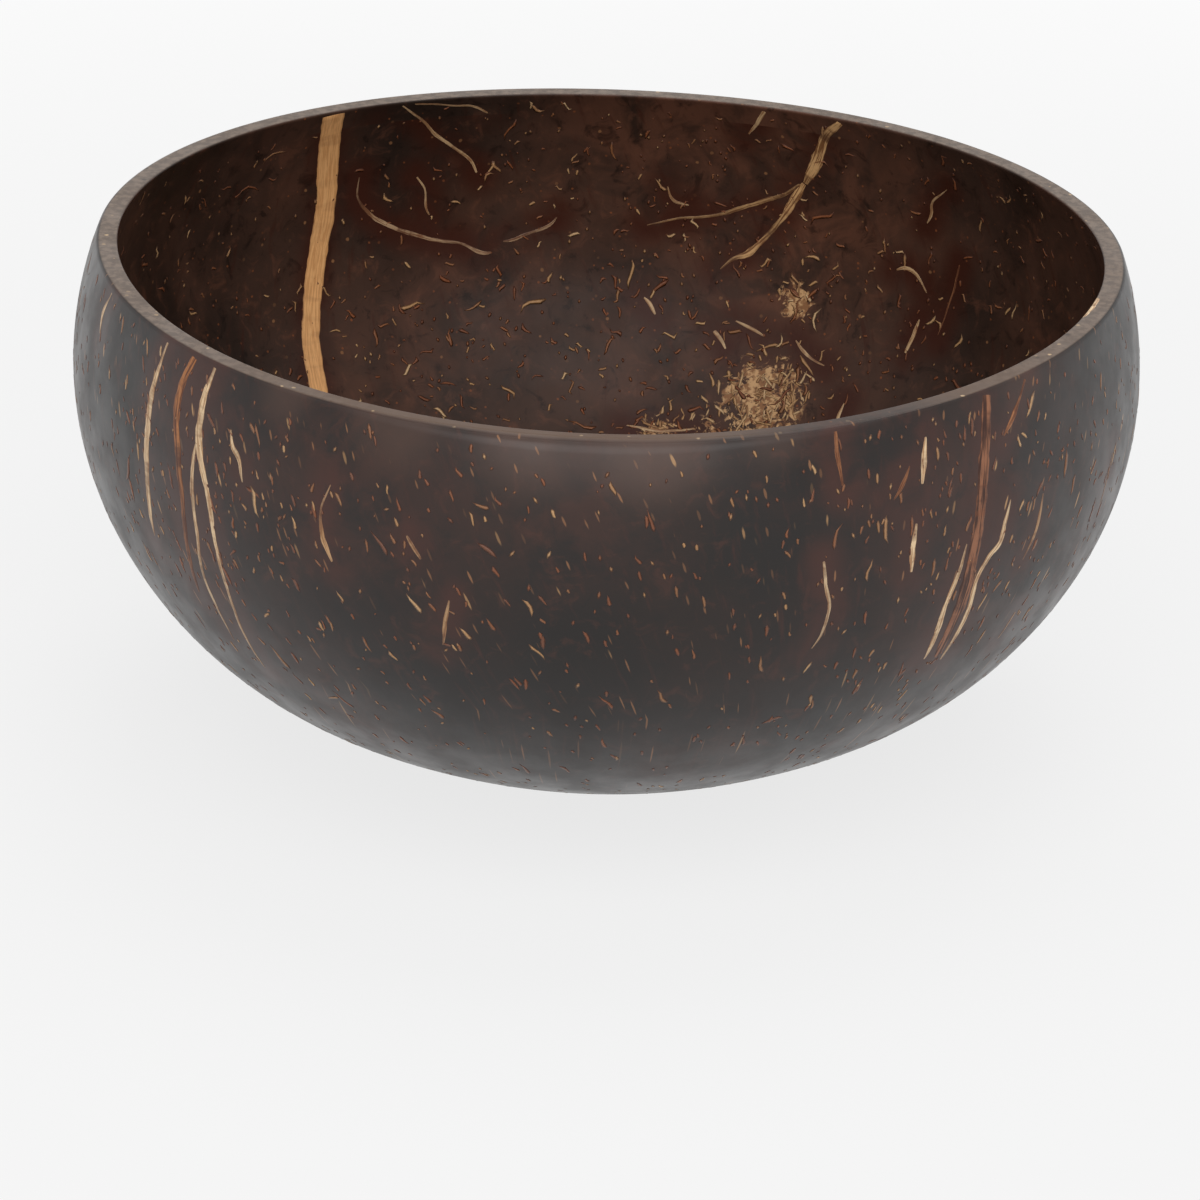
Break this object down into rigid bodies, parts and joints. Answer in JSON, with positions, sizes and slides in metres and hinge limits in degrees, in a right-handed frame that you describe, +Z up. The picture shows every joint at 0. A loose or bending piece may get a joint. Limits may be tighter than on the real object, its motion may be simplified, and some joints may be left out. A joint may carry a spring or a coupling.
{
  "type": "coconut shell bowl",
  "caption": "Deep round bowl cut from half a coconut shell, thin dark polished wall with pale natural strands, level rim and a small ground foot.",
  "frame": {"origin": "middle of the ground foot's face, on the bowl's axis", "axes": "+Z up along the bowl's axis through the open rim, -Y towards the front of the picture"},
  "size_m": [0.14, 0.14, 0.067],
  "materials": {
    "polished_shell": "satin polish, very dark brown with reddish zones and fine pale flecks",
    "pale_strand": "satin polish, cream fibre",
    "tan_strand": "satin polish, tan fibre",
    "red_brown_strand": "satin polish, red-brown fibre"
  },
  "bodies": {
    "root": {"shell": "polished_shell", "wide_inner_strand": "tan_strand", "forked_inner_strand": "tan_strand", "curved_inner_strand": "pale_strand", "short_inner_strands": "tan_strand", "inner_fibre_patch": "tan_strand", "rim_strand": "pale_strand", "left_outer_strands": "pale_strand", "front_outer_strands": "tan_strand", "right_outer_strands": "red_brown_strand", "back_outer_strands": "tan_strand", "underside_strands": "pale_strand", "foot_knot": "pale_strand"}
  },
  "joints": []
}
